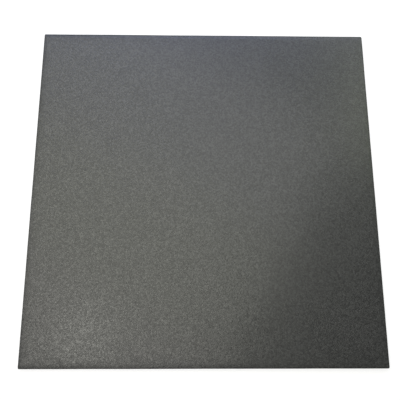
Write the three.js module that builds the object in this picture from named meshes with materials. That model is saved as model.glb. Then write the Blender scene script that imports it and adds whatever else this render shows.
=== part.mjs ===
// Rubber gym floor tile: one square slab of pressed black rubber, laid loose beside others of its kind.
// Its upright faces are flat, so that neighbouring tiles butt together with a closed joint. The training
// face on top has a rounded edge all round, the underside a small chamfer, and the plan a small corner
// radius. The fine pebble grain of the training face is surface finish and isn't part of this solid.
//
// Millimetres, +Z up. The origin is the middle of the underside, on the floor that the tile lies on.
import * as THREE from "three";

// Driving dimensions
const tileWidth = 1000; // along X
const tileLength = 1000; // along Y
const tileThickness = 15;
const planCornerRadius = 4; // upright corners, seen from above
const topEdgeRadius = 2.5; // rounded edge round the training face
const baseChamfer = 0.8; // where the upright faces meet the underside

// Fineness of the round stretches
const planCornerSteps = 6;
const topEdgeSteps = 5;

// The tightest radius that a plan corner keeps where the edge draws in further than its own radius
const sharpestCorner = 0.3;

// The outline of the tile at one height: the plan drawn in by an inset on every side, round at its corners.
function outlineAt(inset) {
  const halfWidth = tileWidth / 2 - inset;
  const halfLength = tileLength / 2 - inset;
  const radius = Math.max(planCornerRadius - inset, sharpestCorner);
  const right = halfWidth - radius;
  const back = halfLength - radius;
  const quarter = Math.PI / 2;
  return new THREE.Shape()
    .moveTo(right, -halfLength)
    .absarc(right, -back, radius, -quarter, 0)
    .absarc(right, back, radius, 0, quarter)
    .absarc(-right, back, radius, quarter, 2 * quarter)
    .absarc(-right, -back, radius, 2 * quarter, 3 * quarter)
    .getPoints(planCornerSteps)
    .filter((point, i, all) => i === 0 || point.distanceTo(all[i - 1]) > 1e-6)
    .filter((point, i, all) => i === 0 || point.distanceTo(all[0]) > 1e-6);
}

// The section of the tile's rim, from the underside up: how far each height is drawn in.
function rimSection() {
  const section = [
    { inset: baseChamfer, height: 0 },
    { inset: 0, height: baseChamfer },
  ];
  for (let step = 0; step <= topEdgeSteps; step++) {
    const angle = (step / topEdgeSteps) * (Math.PI / 2);
    section.push({
      inset: topEdgeRadius * (1 - Math.cos(angle)),
      height: tileThickness - topEdgeRadius * (1 - Math.sin(angle)),
    });
  }
  return section;
}

// A closed solid through a stack of outlines that have the same number of points, flat at both ends.
function solidThrough(section) {
  const outlines = section.map(({ inset }) => outlineAt(inset));
  const count = outlines[0].length;
  const positions = outlines.flatMap((outline, level) =>
    outline.flatMap(({ x, y }) => [x, y, section[level].height]),
  );
  const faces = [];
  for (let level = 0; level + 1 < outlines.length; level++) {
    for (let i = 0; i < count; i++) {
      const low = level * count + i;
      const lowNext = level * count + ((i + 1) % count);
      faces.push(low, lowNext, lowNext + count);
      faces.push(low, lowNext + count, low + count);
    }
  }
  const topLevel = outlines.length - 1;
  for (const [a, b, c] of THREE.ShapeUtils.triangulateShape(outlines[0], [])) {
    faces.push(a, c, b);
  }
  for (const triangle of THREE.ShapeUtils.triangulateShape(outlines[topLevel], [])) {
    faces.push(...triangle.map((i) => topLevel * count + i));
  }
  const geometry = new THREE.BufferGeometry();
  geometry.setAttribute("position", new THREE.Float32BufferAttribute(positions, 3));
  geometry.setIndex(faces);
  geometry.computeVertexNormals();
  return geometry;
}

// Black vulcanised rubber: dark, dull and a little grey where the light catches it
const blackRubber = new THREE.MeshStandardMaterial({
  color: 0x3b3c3b,
  roughness: 0.6,
  metalness: 0,
});

const slab = new THREE.Mesh(solidThrough(rimSection()), blackRubber);
slab.name = "rubber_tile";

const tile = new THREE.Group();
tile.add(slab);

export default tile;
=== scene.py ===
import math

import bpy
from mathutils import Matrix, Vector


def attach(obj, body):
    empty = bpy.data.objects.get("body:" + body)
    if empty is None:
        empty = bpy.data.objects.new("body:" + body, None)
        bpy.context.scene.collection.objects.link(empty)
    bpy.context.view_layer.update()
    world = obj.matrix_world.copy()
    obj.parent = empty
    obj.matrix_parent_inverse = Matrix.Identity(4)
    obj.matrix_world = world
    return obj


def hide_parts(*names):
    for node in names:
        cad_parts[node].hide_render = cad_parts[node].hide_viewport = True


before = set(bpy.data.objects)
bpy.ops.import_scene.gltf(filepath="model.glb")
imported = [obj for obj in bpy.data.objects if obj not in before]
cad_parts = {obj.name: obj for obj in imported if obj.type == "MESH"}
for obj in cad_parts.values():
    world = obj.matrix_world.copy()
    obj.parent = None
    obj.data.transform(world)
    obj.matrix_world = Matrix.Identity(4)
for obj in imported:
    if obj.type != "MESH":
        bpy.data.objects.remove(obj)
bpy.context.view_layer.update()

# Camera
# Held by hand about 1.4 m above the floor, over the front half of the tile and a little left of its middle,
# and looking down at it. The picture is taken as 400 by 400.
camera_place = Vector((-0.0343, -0.3660, 1.4043))
camera_aim = Vector((-0.0122, -0.0306, 0.0))
camera_roll = math.radians(3.85)
camera_sensor_width = 36.0
camera_far_end = 60.0
picture_width = 400
focal_length_in_pixels = 492.6

camera_data = bpy.data.cameras.new("photo_camera")
camera_data.sensor_fit = "HORIZONTAL"
camera_data.sensor_width = camera_sensor_width
camera_data.lens = camera_sensor_width * focal_length_in_pixels / picture_width
camera_data.clip_end = camera_far_end
camera = bpy.data.objects.new("photo_camera", camera_data)
camera.matrix_world = (
    Matrix.Translation(camera_place)
    @ (camera_aim - camera_place).to_track_quat("-Z", "Y").to_matrix().to_4x4()
    @ Matrix.Rotation(camera_roll, 4, "Z")
)
bpy.context.scene.collection.objects.link(camera)
bpy.context.scene.camera = camera


# Tile slab
# One square slab of black rubber, pressed in a heated mould and laid loose. The mould leaves a pebbled
# training face with a rounded edge, plain upright faces that butt against the next tile, and a plain
# underside with a small chamfer.
slab_half = 0.5
slab_thickness = 0.015
plan_corner_radius = 0.004
top_edge_radius = 0.0025
base_chamfer = 0.0008
top_edge_steps = 5
upright_rows = 4
base_rim_band = 0.0016  # flat band of fine faces inside the chamfer, so that its shading stays local
crease_angle = math.radians(30)  # the chamfer's edges stay sharp, and the rounded edge smooth

face_cells = 288  # across the training face
corner_cells = 3  # of them in each corner zone, where rows bend round the plan corner
underside_cell_span = 8  # fine cells to one coarse cell of the underside


def grid_lines(zone):
    """Where the rows of cells cross one side: even along the straight part, closer in the corner zones."""
    straight_end = slab_half - plan_corner_radius
    straight_cells = face_cells - 2 * corner_cells
    lines = [-straight_end - zone * (1 - i / corner_cells) for i in range(corner_cells)]
    lines += [-straight_end + 2 * straight_end * i / straight_cells for i in range(straight_cells + 1)]
    lines += [straight_end + zone * (i + 1) / corner_cells for i in range(corner_cells)]
    return lines


def bend_into_corner(x, y, zone):
    """Moves a point of a square corner zone to its place inside the round corner."""
    straight_end = slab_half - plan_corner_radius
    past_x = max(abs(x) - straight_end, 0.0) / zone
    past_y = max(abs(y) - straight_end, 0.0) / zone
    if past_x == 0.0 or past_y == 0.0:
        return x, y
    bent_x = straight_end + zone * past_x * math.sqrt(1 - past_y * past_y / 2)
    bent_y = straight_end + zone * past_y * math.sqrt(1 - past_x * past_x / 2)
    return math.copysign(bent_x, x), math.copysign(bent_y, y)


def rim_cells():
    """The grid places round the border of a face, counter-clockwise from its front left corner."""
    last = face_cells
    front = [(i, 0) for i in range(last)]
    right = [(last, i) for i in range(last)]
    back = [(last - i, last) for i in range(last)]
    left = [(0, last - i) for i in range(last)]
    return front + right + back + left


def rim_section():
    """From the training face down to the underside: how far each ring is drawn in, and its height."""
    rings = []
    for step in range(1, top_edge_steps + 1):
        angle = math.pi / 2 * (1 - step / top_edge_steps)
        rings.append((
            top_edge_radius * (1 - math.cos(angle)),
            slab_thickness - top_edge_radius * (1 - math.sin(angle)),
        ))
    upright_top = slab_thickness - top_edge_radius
    for row in range(1, upright_rows + 1):
        rings.append((0.0, upright_top + (base_chamfer - upright_top) * row / upright_rows))
    rings.append((base_chamfer, 0.0))
    rings.append((base_rim_band, 0.0))
    return rings


def slab_mesh():
    """The blank slab: a fine grid on the training face, rings down its rim, and a coarse underside."""
    points, faces = [], []

    face_zone = plan_corner_radius - top_edge_radius
    lines = grid_lines(face_zone)
    side = face_cells + 1
    for row in lines:
        for column in lines:
            x, y = bend_into_corner(column, row, face_zone)
            points.append((x, y, slab_thickness))
    for row in range(face_cells):
        for column in range(face_cells):
            corner = row * side + column
            faces.append((corner, corner + 1, corner + side + 1, corner + side))

    border = rim_cells()
    above = [row * side + column for column, row in border]
    for inset, height in rim_section():
        zone = plan_corner_radius - inset
        lines = grid_lines(zone)
        ring = []
        for column, row in border:
            x, y = bend_into_corner(lines[column], lines[row], zone)
            ring.append(len(points))
            points.append((x, y, height))
        for i in range(len(border)):
            after = (i + 1) % len(border)
            faces.append((above[i], ring[i], ring[after], above[after]))
        above = ring

    # The underside is flat, so its cells are coarse. Those along the rim take in the rim's fine points.
    place_of = dict(zip(border, above))
    coarse_cells = face_cells // underside_cell_span
    for row in range(1, coarse_cells):
        for column in range(1, coarse_cells):
            place_of[(column * underside_cell_span, row * underside_cell_span)] = len(points)
            points.append((lines[column * underside_cell_span], lines[row * underside_cell_span], 0.0))
    for row in range(coarse_cells):
        for column in range(coarse_cells):
            low_x, low_y = column * underside_cell_span, row * underside_cell_span
            high_x, high_y = low_x + underside_cell_span, low_y + underside_cell_span
            walk = [(x, low_y) for x in range(low_x, high_x)]
            walk += [(high_x, y) for y in range(low_y, high_y)]
            walk += [(x, high_y) for x in range(high_x, low_x, -1)]
            walk += [(low_x, y) for y in range(high_y, low_y, -1)]
            faces.append(tuple(reversed([place_of[place] for place in walk if place in place_of])))

    mesh = bpy.data.meshes.new("tile_slab_blank")
    mesh.from_pydata(points, [], faces)
    mesh.polygons.foreach_set("use_smooth", [True] * len(mesh.polygons))
    mesh.set_sharp_from_angle(angle=crease_angle)
    return mesh


def add(tree, kind, inputs=(), **settings):
    """A node with its settings, and with a value or another node's socket in each named input."""
    node = tree.nodes.new(kind)
    for name, value in settings.items():
        setattr(node, name, value)
    for name, value in dict(inputs).items():
        socket = node.inputs[name]
        if isinstance(value, bpy.types.NodeSocket):
            tree.links.new(value, socket)
        else:
            socket.default_value = value
    return node


def compute(tree, operation, first, second=0.0, third=0.0):
    """The result socket of a math node."""
    return add(tree, "ShaderNodeMath", {0: first, 1: second, 2: third}, operation=operation).outputs[0]


def between(tree, value, low, high, to_low=0.0, to_high=1.0):
    """The result socket of a node that eases a value from one range into another."""
    return add(
        tree,
        "ShaderNodeMapRange",
        {"Value": value, "From Min": low, "From Max": high, "To Min": to_low, "To Max": to_high},
        interpolation_type="SMOOTHSTEP",
    ).outputs["Result"]


def blend(tree, first, first_share, second):
    """The result socket of two values mixed: the first by its share, and the second by the rest."""
    rest = compute(tree, "MULTIPLY", second, 1.0 - first_share)
    return compute(tree, "MULTIPLY_ADD", first, first_share, rest)


def reach(tree, place):
    """The result socket of how far a place lies from the middle of the slab, towards the nearest side."""
    plan = add(tree, "ShaderNodeSeparateXYZ", {0: place}).outputs
    reach_x = compute(tree, "ABSOLUTE", plan["X"])
    reach_y = compute(tree, "ABSOLUTE", plan["Y"])
    return compute(tree, "MAXIMUM", reach_x, reach_y)


# One pebble of the grain. Its lengths count in pebbles, and its heights in the relief of the finish.
pebble_scatter = 0.9
crown_foot = 0.62  # from the pebble's middle
crown_top = 0.08
valley_half_width = 0.24
shoulder_height = 0.3
lowest_crown = 0.35
crown_range = 0.35  # from the lowest crown to the highest
valley_polish = 0.5  # share of the pebble's polish that reaches into the valley
polish_rarity = 2.0  # the higher, the fewer pebbles are polished
mean_polish = 0.24
pebble_share = 0.75  # of the speckle, and the rest is the fine roughness
facets_per_pebble = 1.5  # along one side
glint_rarity = 6.0  # the higher, the fewer facets glint
mean_glint = 1.0 / (1.0 + glint_rarity)


def rubber_grain():
    """The grain of moulded rubber: pebbles with fine roughness on them, and soft clouds of tone."""
    group = bpy.data.node_groups.new("rubber_grain", "ShaderNodeTree")
    for name, kind, value in (
        ("Vector", "NodeSocketVector", (0.0, 0.0, 0.0)),
        ("Pebbles per metre", "NodeSocketFloat", 330.0),
        ("Roughness per metre", "NodeSocketFloat", 1100.0),
        ("Clouds per metre", "NodeSocketFloat", 9.0),
        ("Fine share", "NodeSocketFloat", 0.3),
    ):
        socket = group.interface.new_socket(name, in_out="INPUT", socket_type=kind)
        socket.default_value = value
    for name in ("Height", "Polish", "Glints", "Speckle", "Clouds"):
        group.interface.new_socket(name, in_out="OUTPUT", socket_type="NodeSocketFloat")
    given = group.nodes.new("NodeGroupInput").outputs
    result = group.nodes.new("NodeGroupOutput").inputs

    pebbles = {
        "Vector": given["Vector"],
        "Scale": given["Pebbles per metre"],
        "Randomness": pebble_scatter,
    }
    cells = add(group, "ShaderNodeTexVoronoi", pebbles, feature="F1").outputs
    cell_tone = add(group, "ShaderNodeSeparateColor", {"Color": cells["Color"]}).outputs["Red"]
    crown = between(group, cells["Distance"], crown_foot, crown_top)
    valleys = add(group, "ShaderNodeTexVoronoi", pebbles, feature="DISTANCE_TO_EDGE").outputs
    off_valley = between(group, valleys["Distance"], 0.0, valley_half_width)
    roughness = add(
        group,
        "ShaderNodeTexNoise",
        {
            "Vector": given["Vector"],
            "Scale": given["Roughness per metre"],
            "Detail": 2.0,
            "Roughness": 0.6,
        },
    ).outputs[0]
    crown_height = compute(group, "MULTIPLY_ADD", cell_tone, crown_range, lowest_crown)
    uneven_crown = compute(group, "MULTIPLY", crown, crown_height)
    pebble = compute(group, "MULTIPLY_ADD", off_valley, shoulder_height, uneven_crown)
    height = compute(group, "MULTIPLY_ADD", roughness, given["Fine share"], pebble)
    group.links.new(height, result["Height"])

    few_polished = compute(group, "POWER", cell_tone, polish_rarity)
    polish_here = compute(group, "MULTIPLY_ADD", off_valley, 1.0 - valley_polish, valley_polish)
    group.links.new(compute(group, "MULTIPLY", polish_here, few_polished), result["Polish"])

    facets = {
        "Vector": given["Vector"],
        "Scale": compute(group, "MULTIPLY", given["Pebbles per metre"], facets_per_pebble),
    }
    facet_colour = add(group, "ShaderNodeTexVoronoi", facets, feature="F1").outputs["Color"]
    facet_tone = add(group, "ShaderNodeSeparateColor", {"Color": facet_colour}).outputs["Green"]
    group.links.new(compute(group, "POWER", facet_tone, glint_rarity), result["Glints"])

    group.links.new(blend(group, cell_tone, pebble_share, roughness), result["Speckle"])
    clouds = add(
        group,
        "ShaderNodeTexNoise",
        {
            "Vector": given["Vector"],
            "Scale": given["Clouds per metre"],
            "Detail": 3.0,
            "Roughness": 0.5,
            "Distortion": 0.3,
        },
    ).outputs[0]
    group.links.new(clouds, result["Clouds"])
    return group


grain = rubber_grain()
clouds_in_colour = 0.25  # share, and the rest is speckle
clouds_in_roughness = 0.4
dullest_spread = 0.8  # spread of clouds and speckle at which the rubber is roughest
glossiest_spread = 0.2
# painted glints: along this way the facets' polish rises, so that they glint towards the front left corner
# as the light does
way_to_front_left = (-0.7, -0.5)  # in plan
glints_start = -0.25  # along that way, from the middle of the slab
glints_full = 0.50
# painted shade: within this width of the edge the polish fades, which darkens the training face along its
# border
painted_border_shade_width = 0.040


def rubber_finish(name, dark, light, grain_values, roughness, polish, glints, painted_border_shade, relief):
    """Moulded black rubber: its colours, grain, range of roughness, polish of the pebbles and relief.

    The polish is a middle value and how far it swings from pebble to pebble. Towards the front left corner
    small facets get more and more polish, painted glints standing in for glints of the light, and along the
    border the polish fades, a painted shade that darkens the face near its edges.
    """
    material = bpy.data.materials.new(name)
    material.use_nodes = True
    tree = material.node_tree
    shader = tree.nodes["Principled BSDF"]
    place = add(tree, "ShaderNodeTexCoord").outputs["Object"]
    surface_node = add(tree, "ShaderNodeGroup", node_tree=grain)
    tree.links.new(place, surface_node.inputs["Vector"])
    for socket, value in grain_values.items():
        surface_node.inputs[socket].default_value = value
    surface = surface_node.outputs

    tone = blend(tree, surface["Clouds"], clouds_in_colour, surface["Speckle"])
    colour = add(tree, "ShaderNodeMix", {"Factor": tone}, data_type="RGBA")
    colour.inputs["A"].default_value = (*dark, 1.0)
    colour.inputs["B"].default_value = (*light, 1.0)
    tree.links.new(colour.outputs["Result"], shader.inputs["Base Color"])

    spread = blend(tree, surface["Clouds"], clouds_in_roughness, surface["Speckle"])
    dullness = between(tree, spread, glossiest_spread, dullest_spread, *roughness)
    tree.links.new(dullness, shader.inputs["Roughness"])
    shader.inputs["Specular IOR Level"].default_value = 0.3

    middle_polish, polish_swing = polish
    # Painted glints: small facets get more polish towards the front left corner, so they glint there. This
    # stands in for glints of the light, not for burnish.
    plan = add(tree, "ShaderNodeSeparateXYZ", {0: place}).outputs
    way_x, way_y = way_to_front_left
    to_front = compute(tree, "MULTIPLY", plan["Y"], way_y)
    to_front_left = compute(tree, "MULTIPLY_ADD", plan["X"], way_x, to_front)
    glint_share = between(tree, to_front_left, glints_start, glints_full, 0.0, glints)
    glint = compute(tree, "SUBTRACT", surface["Glints"], mean_glint)
    facet_polish = compute(tree, "MULTIPLY_ADD", glint, glint_share, middle_polish)
    off_mean = compute(tree, "SUBTRACT", surface["Polish"], mean_polish)
    pebble_polish = compute(tree, "MULTIPLY_ADD", off_mean, polish_swing, facet_polish)
    # Painted shade along the border: the polish fades towards the edges, so the face is darker there.
    border_start = slab_half - painted_border_shade_width
    kept_share = between(tree, reach(tree, place), border_start, slab_half, 1.0, 1.0 - painted_border_shade)
    kept_polish = compute(tree, "MULTIPLY", pebble_polish, kept_share)
    full_polish = compute(tree, "MINIMUM", compute(tree, "MAXIMUM", kept_polish, 0.0), 1.0)
    tree.links.new(full_polish, shader.inputs["Coat Weight"])
    shader.inputs["Coat Roughness"].default_value = 0.24
    shader.inputs["Coat IOR"].default_value = 1.5

    bump = add(
        tree,
        "ShaderNodeBump",
        {"Height": surface["Height"], "Strength": 1.0, "Distance": relief},
    )
    tree.links.new(bump.outputs["Normal"], shader.inputs["Normal"])
    return material


training_face_rubber = rubber_finish(
    "training_face_rubber",
    dark=(0.0186, 0.0188, 0.0186),
    light=(0.0574, 0.0584, 0.0564),
    grain_values={"Pebbles per metre": 265.0, "Fine share": 0.25},
    roughness=(0.30, 0.42),
    polish=(0.51, 0.46),
    glints=1.0,
    painted_border_shade=0.34,
    relief=0.00038,
)
upright_face_rubber = rubber_finish(
    "upright_face_rubber",
    dark=(0.020, 0.0205, 0.0200),
    light=(0.050, 0.051, 0.049),
    grain_values={"Pebbles per metre": 520.0, "Roughness per metre": 1500.0, "Fine share": 0.6},
    roughness=(0.50, 0.68),
    polish=(0.17, 0.25),
    glints=0.0,
    painted_border_shade=0.0,
    relief=0.00006,
)
underside_rubber = rubber_finish(
    "underside_rubber",
    dark=(0.022, 0.0225, 0.0220),
    light=(0.056, 0.057, 0.055),
    grain_values={"Pebbles per metre": 180.0, "Clouds per metre": 6.0, "Fine share": 0.8},
    roughness=(0.55, 0.75),
    polish=(0.08, 0.20),
    glints=0.0,
    painted_border_shade=0.0,
    relief=0.00010,
)

relief_start = slab_thickness - 0.6 * top_edge_radius  # height from which the grain fades in
unevenness_full = 0.35 * slab_thickness  # height from which the sides are fully uneven
hollow_start = 0.15  # from a pebble's middle, in pebbles
hollow_full = 0.85
dip_start = 0.3  # tone of the unevenness at which a dip starts
dip_full = 0.7
border_power = 3.0  # the higher, the closer to the edge the border falls away
underside_lean = -0.9  # a face whose normal points down by this or more is the underside's
training_face_lean = 0.93  # and one that points up by this or more is the training face's


def mould_relief():
    """Presses the mould's relief into the blank: grain, soft unevenness and a border that falls away."""
    tree = bpy.data.node_groups.new("mould_relief", "GeometryNodeTree")
    tree.interface.new_socket("Geometry", in_out="INPUT", socket_type="NodeSocketGeometry")
    for name in (
        "Grain width",
        "Grain depth",
        "Unevenness width",
        "Unevenness depth",
        "Border width",
        "Border drop",
        "Seed",
    ):
        tree.interface.new_socket(name, in_out="INPUT", socket_type="NodeSocketFloat")
    tree.interface.new_socket("Geometry", in_out="OUTPUT", socket_type="NodeSocketGeometry")
    given = tree.nodes.new("NodeGroupInput").outputs
    result = tree.nodes.new("NodeGroupOutput").inputs

    place = add(tree, "GeometryNodeInputPosition").outputs[0]
    outward = add(tree, "GeometryNodeInputNormal").outputs[0]
    height = add(tree, "ShaderNodeSeparateXYZ", {0: place}).outputs["Z"]
    upward = add(tree, "ShaderNodeSeparateXYZ", {0: outward}).outputs["Z"]
    on_face = between(tree, height, relief_start, slab_thickness)
    off_base = between(tree, height, base_chamfer, unevenness_full)

    pebbles = add(
        tree,
        "ShaderNodeTexVoronoi",
        {
            "Vector": place,
            "W": given["Seed"],
            "Scale": compute(tree, "DIVIDE", 1.0, given["Grain width"]),
            "Randomness": 1.0,
        },
        voronoi_dimensions="4D",
        feature="F1",
    ).outputs["Distance"]
    hollow = between(tree, pebbles, hollow_start, hollow_full)
    hollows = compute(tree, "MULTIPLY", hollow, given["Grain depth"])
    unevenness = add(
        tree,
        "ShaderNodeTexNoise",
        {
            "Vector": place,
            "W": given["Seed"],
            "Scale": compute(tree, "DIVIDE", 1.0, given["Unevenness width"]),
            "Detail": 1.0,
        },
        noise_dimensions="4D",
    ).outputs[0]
    dip = between(tree, unevenness, dip_start, dip_full)
    dips = compute(tree, "MULTIPLY", dip, given["Unevenness depth"])
    depth = compute(tree, "MULTIPLY_ADD", hollows, on_face, compute(tree, "MULTIPLY", dips, off_base))
    inward = add(
        tree,
        "ShaderNodeVectorMath",
        {0: outward, "Scale": compute(tree, "MULTIPLY", depth, -1.0)},
        operation="SCALE",
    ).outputs[0]

    border_start = compute(tree, "SUBTRACT", slab_half, given["Border width"])
    past_start = compute(tree, "SUBTRACT", reach(tree, place), border_start)
    share = compute(tree, "DIVIDE", past_start, given["Border width"])
    into_border = compute(tree, "MAXIMUM", share, 0.0)
    fall_share = compute(tree, "POWER", into_border, border_power)
    drop = compute(tree, "MULTIPLY", compute(tree, "MULTIPLY", fall_share, given["Border drop"]), on_face)
    fall = add(tree, "ShaderNodeCombineXYZ", {"Z": compute(tree, "MULTIPLY", drop, -1.0)}).outputs[0]

    shift = add(tree, "ShaderNodeVectorMath", {0: inward, 1: fall}, operation="ADD").outputs[0]
    whole = {"Geometry": given["Geometry"], "Offset": shift}
    pressed = add(tree, "GeometryNodeSetPosition", whole).outputs[0]
    finished = add(tree, "GeometryNodeRealizeInstances", {"Geometry": pressed}).outputs[0]
    faces_down = compute(tree, "LESS_THAN", upward, underside_lean)
    faces_up = compute(tree, "GREATER_THAN", upward, training_face_lean)
    for chosen, rubber in (
        (True, upright_face_rubber),
        (faces_down, underside_rubber),
        (faces_up, training_face_rubber),
    ):
        choice = {"Geometry": finished, "Selection": chosen, "Material": rubber}
        finished = add(tree, "GeometryNodeSetMaterial", choice).outputs[0]
    tree.links.new(finished, result["Geometry"])
    return tree


blank_mesh = slab_mesh()
for rubber in (upright_face_rubber, underside_rubber, training_face_rubber):
    blank_mesh.materials.append(rubber)
blank = bpy.data.objects.new("tile_slab_blank", blank_mesh)
bpy.context.scene.collection.objects.link(blank)
mould = blank.modifiers.new("mould_relief", "NODES")
mould.node_group = mould_relief()
mould_sizes = {
    "Grain width": 0.0075,
    "Grain depth": 0.00016,
    "Unevenness width": 0.11,
    "Unevenness depth": 0.00025,
    "Border width": 0.018,
    "Border drop": 0.0014,
    "Seed": 4.0,
}
for item in mould.node_group.interface.items_tree:
    if item.in_out == "INPUT" and item.name in mould_sizes:
        mould[item.identifier] = mould_sizes[item.name]

pressed_blank = blank.evaluated_get(bpy.context.evaluated_depsgraph_get())
pressed_mesh = bpy.data.meshes.new_from_object(pressed_blank)
pressed_mesh.name = "tile_slab"
bpy.data.objects.remove(blank)
tile_slab = bpy.data.objects.new("tile_slab", pressed_mesh)
bpy.context.scene.collection.objects.link(tile_slab)
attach(tile_slab, "root")
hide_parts("rubber_tile")


# Floor
# A plain pale studio floor, wide enough to fill every view. It throws less light back than it seems to, so
# that it is white without washing out the slab's edges. It can't be seen from below and is open where the
# tile covers it, so that the underside is seen and lit in a view from there.
floor_half = 12.0
floor_drop = 0.0002  # below the underside, so that the two faces don't coincide
floor_opening_half = slab_half - 0.002
floor_roughness = 0.9
floor_grey_in_reflections = (0.60, 0.60, 0.60, 1.0)
floor_grey_in_view = (0.30, 0.30, 0.30, 1.0)
floor_glow_colour = (1.0, 1.0, 1.0, 1.0)
floor_glow_near = 0.78  # up to where it starts to grow, from the middle of the tile
floor_glow_far = 1.0
floor_glow_grows_from = 0.9
floor_glow_grows_to = 3.5

floor_points = [
    (side_x * half, side_y * half, -floor_drop)
    for half in (floor_half, floor_opening_half)
    for side_x, side_y in ((-1, -1), (1, -1), (1, 1), (-1, 1))
]
floor_faces = [(i, (i + 1) % 4, (i + 1) % 4 + 4, i + 4) for i in range(4)]
floor_mesh = bpy.data.meshes.new("studio_floor")
floor_mesh.from_pydata(floor_points, [], floor_faces)

floor_paint = bpy.data.materials.new("pale_floor_paint")
floor_paint.use_nodes = True
floor_tree = floor_paint.node_tree
floor_shader = floor_tree.nodes["Principled BSDF"]
floor_shader.inputs["Roughness"].default_value = floor_roughness
floor_shader.inputs["Specular IOR Level"].default_value = 0.1
floor_shader.inputs["Emission Color"].default_value = floor_glow_colour
seen_by_camera = add(floor_tree, "ShaderNodeLightPath").outputs["Is Camera Ray"]
floor_colour = add(floor_tree, "ShaderNodeMix", {"Factor": seen_by_camera}, data_type="RGBA")
floor_colour.inputs["A"].default_value = floor_grey_in_reflections
floor_colour.inputs["B"].default_value = floor_grey_in_view
floor_tree.links.new(floor_colour.outputs["Result"], floor_shader.inputs["Base Color"])
floor_place = add(floor_tree, "ShaderNodeTexCoord").outputs["Object"]
from_tile = add(floor_tree, "ShaderNodeVectorMath", {0: floor_place}, operation="LENGTH").outputs["Value"]
glow_here = between(
    floor_tree,
    from_tile,
    floor_glow_grows_from,
    floor_glow_grows_to,
    floor_glow_near,
    floor_glow_far,
)
floor_glow = compute(floor_tree, "MULTIPLY", seen_by_camera, glow_here)
floor_tree.links.new(floor_glow, floor_shader.inputs["Emission Strength"])
floor_sides = add(
    floor_tree,
    "ShaderNodeMixShader",
    {
        0: add(floor_tree, "ShaderNodeNewGeometry").outputs["Backfacing"],
        1: floor_shader.outputs[0],
        2: add(floor_tree, "ShaderNodeBsdfTransparent").outputs[0],
    },
)
floor_tree.links.new(floor_sides.outputs[0], floor_tree.nodes["Material Output"].inputs["Surface"])
floor_mesh.materials.append(floor_paint)
floor = bpy.data.objects.new("studio_floor", floor_mesh)
bpy.context.scene.collection.objects.link(floor)


# Studio light
# Soft panels under one ceiling: three side by side overhead to the left, a cooler row beyond the back edge,
# one to the right and a small lamp at the front left. The rubber mirrors each softly in its own part of the
# training face, and the right front corner, which mirrors past them, stays darker.
panel_height = 2.2
low_panel_height = panel_height - 0.01  # for the lamp and the back row, which lap under the overhead panels


def soft_panel(name, place, width, length, brightness, colour, turn=0.0):
    """A panel that shines straight down. Its brightness is its radiance, whatever the panel's size."""
    data = bpy.data.lights.new(name, "AREA")
    data.shape = "RECTANGLE"
    data.size = width
    data.size_y = length
    data.color = colour
    data.energy = brightness * math.pi * width * length
    panel = bpy.data.objects.new(name, data)
    panel.matrix_world = Matrix.Translation(Vector(place)) @ Matrix.Rotation(turn, 4, "Z")
    panel.visible_camera = False
    bpy.context.scene.collection.objects.link(panel)


overhead_width = 3.0
overhead_length = 1.0
overhead_turn = math.radians(-28.0)
overhead_middle = Vector((-0.87, 0.47, panel_height))
along_overhead = Matrix.Rotation(overhead_turn, 3, "Z") @ Vector((0.0, overhead_length, 0.0))
for name, step, brightness, colour in (
    ("overhead_front_panel", -1.0, 2.5, (1.0, 0.965, 0.90)),
    ("overhead_middle_panel", 0.0, 2.5, (0.985, 1.0, 0.855)),
    ("overhead_back_panel", 1.0, 2.27, (0.985, 0.99, 0.975)),
):
    middle = overhead_middle + along_overhead * step
    soft_panel(name, middle, overhead_width, overhead_length, brightness, colour, turn=overhead_turn)

back_row_y = 2.55
back_width = 1.8
back_length = 1.1
for name, step, brightness, colour in (
    ("back_left_panel", -1.0, 2.0, (0.42, 0.52, 1.0)),
    ("back_middle_panel", 0.0, 5.5, (0.59, 0.67, 1.0)),
    ("back_right_panel", 1.0, 3.9, (0.88, 0.94, 1.0)),
):
    middle = (step * back_width, back_row_y, low_panel_height)
    soft_panel(name, middle, back_width, back_length, brightness, colour)

soft_panel(
    "right_panel",
    place=(1.85, 1.30, panel_height),
    width=1.3,
    length=1.0,
    brightness=2.5,
    colour=(0.925, 1.0, 0.73),
)
soft_panel(
    "small_lamp",
    place=(-0.80, -0.50, low_panel_height),
    width=0.30,
    length=0.30,
    brightness=6.0,
    colour=(0.98, 1.0, 0.90),
)

wall_colour = (0.36, 0.36, 0.37, 1.0)
ceiling_colour = (0.112, 0.112, 0.116, 1.0)
backdrop_colour = (1.0, 1.0, 1.0, 1.0)  # what the camera sees beyond the floor
wall_top = 0.25  # height of a direction, 1 being straight up
ceiling_start = 0.60

surroundings = bpy.data.worlds.new("pale_surroundings")
surroundings.use_nodes = True
sky = surroundings.node_tree
direction = add(sky, "ShaderNodeTexCoord").outputs["Generated"]
height_in_sky = add(sky, "ShaderNodeSeparateXYZ", {0: direction}).outputs["Z"]
above_walls = between(sky, height_in_sky, wall_top, ceiling_start)
wall_or_ceiling = add(sky, "ShaderNodeMix", {"Factor": above_walls}, data_type="RGBA")
wall_or_ceiling.inputs["A"].default_value = wall_colour
wall_or_ceiling.inputs["B"].default_value = ceiling_colour
seen_directly = add(sky, "ShaderNodeLightPath").outputs["Is Camera Ray"]
sky_colour = add(sky, "ShaderNodeMix", {"Factor": seen_directly}, data_type="RGBA")
sky.links.new(wall_or_ceiling.outputs["Result"], sky_colour.inputs["A"])
sky_colour.inputs["B"].default_value = backdrop_colour
sky.links.new(sky_colour.outputs["Result"], sky.nodes["Background"].inputs["Color"])
bpy.context.scene.world = surroundings
bpy.context.scene.view_settings.view_transform = "Standard"
bpy.context.scene.view_settings.look = "None"
